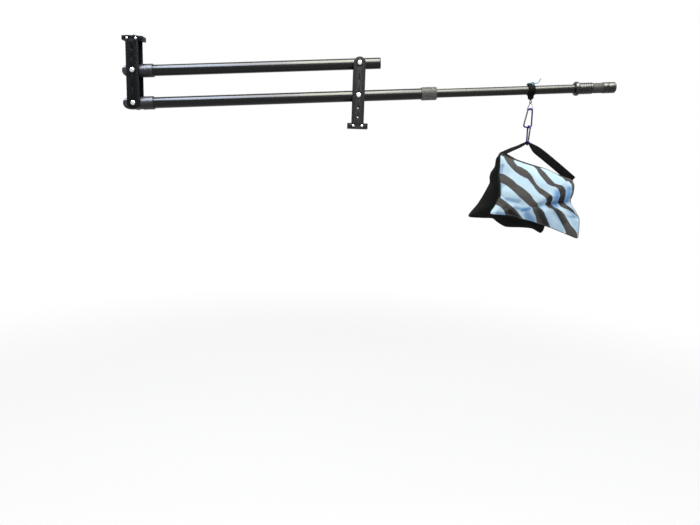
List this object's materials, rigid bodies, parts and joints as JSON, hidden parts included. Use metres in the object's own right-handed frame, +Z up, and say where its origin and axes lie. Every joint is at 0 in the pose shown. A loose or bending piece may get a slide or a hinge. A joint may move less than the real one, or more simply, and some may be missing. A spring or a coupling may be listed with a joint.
{
  "type": "camera jib crane",
  "caption": "Parallelogram camera jib arm on a short column, with a level camera head, a telescoping rear grip tube and a hanging saddle counterweight bag.",
  "frame": {"origin": "middle of the base block's underside, where the jib stands on a tripod", "axes": "+X along the arm towards the grip and the bag, +Y away from the side with the bolt heads, +Z up"},
  "size_m": [1.446, 0.1107, 0.5443],
  "materials": {
    "satin_black": "satin",
    "gloss_black": "gloss",
    "steel": "gloss",
    "nylon": "satin",
    "black_plastic": "satin",
    "grey_plastic": "matte",
    "grip_rubber": "matte",
    "dark_steel": "satin",
    "chrome": "polished",
    "blue_anodised": "gloss",
    "blue_cord": "matte",
    "sky_cloth": "matte",
    "black_cloth": "matte"
  },
  "bodies": {
    "column": {"column_near_bar": "satin_black", "column_far_bar": "satin_black", "base_block": "satin_black", "base_near_front_screw": "steel", "base_near_rear_screw": "steel", "base_far_front_screw": "steel", "base_far_rear_screw": "steel", "column_lower_pivot_bolt": "steel", "column_lower_pivot_nut": "steel", "column_upper_pivot_bolt": "steel", "column_upper_pivot_nut": "steel"},
    "boom": {"boom_tube": "gloss_black", "boom_front_end": "satin_black", "boom_near_saddle_spacer": "nylon", "boom_far_saddle_spacer": "nylon", "boom_near_thrust_washer": "nylon", "boom_far_thrust_washer": "nylon", "lock_collet": "nylon"},
    "lock": {"lock_collar": "grey_plastic"},
    "extension": {"extension_tube": "gloss_black", "extension_bush": "nylon", "grip_flange": "black_plastic", "grip_sleeve": "grip_rubber", "grip_end_cap": "black_plastic"},
    "hook": {"hook_collar": "black_plastic", "hook_grub_screw": "dark_steel", "hook_eye": "chrome", "hook_cord_knot": "blue_cord", "hook_cord_tail": "blue_cord"},
    "ring": {"triangle_ring": "chrome"},
    "upper_carabiner": {"upper_carabiner_frame": "blue_anodised", "upper_carabiner_pin": "steel"},
    "upper_gate": {"upper_carabiner_gate": "steel"},
    "lower_carabiner": {"lower_carabiner_frame": "blue_anodised", "lower_carabiner_pin": "steel"},
    "lower_gate": {"lower_carabiner_gate": "steel"},
    "bag": {"bag_near_pouch": "sky_cloth", "bag_far_pouch": "black_cloth", "bag_saddle_panel": "black_cloth", "bag_handle_strap": "black_cloth"},
    "upper_arm": {"upper_arm_tube": "gloss_black", "upper_arm_front_end": "satin_black", "upper_arm_near_saddle_spacer": "nylon", "upper_arm_far_saddle_spacer": "nylon", "upper_arm_near_thrust_washer": "nylon", "upper_arm_far_thrust_washer": "nylon", "upper_arm_end_plug": "black_plastic"},
    "head": {"head_near_bar": "satin_black", "head_far_bar": "satin_black", "camera_platform": "satin_black", "platform_near_front_screw": "steel", "platform_near_rear_screw": "steel", "platform_far_front_screw": "steel", "platform_far_rear_screw": "steel", "head_lower_pivot_bolt": "steel", "head_lower_pivot_nut": "steel", "head_upper_pivot_bolt": "steel", "head_upper_pivot_nut": "steel"},
    "camera_screw": {"camera_screw": "dark_steel"}
  },
  "joints": [
    {"name": "boom_tilt", "type": "hinge", "parent": "column", "child": "boom", "pos_m": [0, 0, 0.095], "axis": [0, 1, 0], "range_deg": [-41, 48.9]},
    {"name": "upper_arm_tilt", "type": "hinge", "parent": "column", "child": "upper_arm", "pos_m": [0, 0, 0.186], "axis": [0, 1, 0], "range_deg": [-41, 48.9]},
    {"name": "head_level", "type": "hinge", "parent": "boom", "child": "head", "pos_m": [-0.65047, 0, 0.05037], "axis": [0, 1, 0], "range_deg": [-48.9, 41]},
    {"name": "extension_slide", "type": "slide", "parent": "boom", "child": "extension", "axis": [0.9977, 0, 0.0685], "range_m": [-0.1, 0.04]},
    {"name": "lock_twist", "type": "hinge", "parent": "boom", "child": "lock", "pos_m": [0.20801, 0, 0.10927], "axis": [0.9977, 0, 0.0685], "range_deg": [0, 90]},
    {"name": "hook_slide", "type": "slide", "parent": "extension", "child": "hook", "axis": [0.9977, 0, 0.0685], "range_m": [-0.15, 0.1]},
    {"name": "ring_swing", "type": "hinge", "parent": "hook", "child": "ring", "pos_m": [0.51439, 0, 0.0923], "axis": [0.9135, 0.4067, 0], "range_deg": [-30, 30]},
    {"name": "upper_carabiner_swing", "type": "hinge", "parent": "ring", "child": "upper_carabiner", "pos_m": [0.51439, 0, 0.0733], "axis": [-0.1045, 0.9945, 0], "range_deg": [-25, 25]},
    {"name": "upper_gate_swing", "type": "hinge", "parent": "upper_carabiner", "child": "upper_gate", "pos_m": [0.50655, -0.00082, 0.06715], "axis": [0.1045, -0.9945, 0], "range_deg": [0, 20], "stiffness_Nm_per_rad": 0.02, "springref_deg": -11.46},
    {"name": "lower_carabiner_swing", "type": "hinge", "parent": "upper_carabiner", "child": "lower_carabiner", "pos_m": [0.51439, 0, 0.02159], "axis": [-1, 0, 0], "range_deg": [-25, 25]},
    {"name": "lower_gate_swing", "type": "hinge", "parent": "lower_carabiner", "child": "lower_gate", "pos_m": [0.51439, -0.0078, -0.01906], "axis": [-1, 0, 0], "range_deg": [0, 20], "stiffness_Nm_per_rad": 0.02, "springref_deg": -11.46},
    {"name": "bag_swing", "type": "hinge", "parent": "lower_carabiner", "child": "bag", "pos_m": [0.51439, 0, -0.02892], "axis": [0, -1, 0], "range_deg": [-25, 25]},
    {"name": "camera_screw_turn", "type": "hinge", "parent": "head", "child": "camera_screw", "pos_m": [-0.65047, 0, 0.2304], "axis": [0, 0, 1], "continuous": true}
  ],
  "couplings": [
    {"joint": "upper_arm_tilt", "follows": "boom_tilt", "ratio": 1},
    {"joint": "head_level", "follows": "boom_tilt", "ratio": -1}
  ]
}
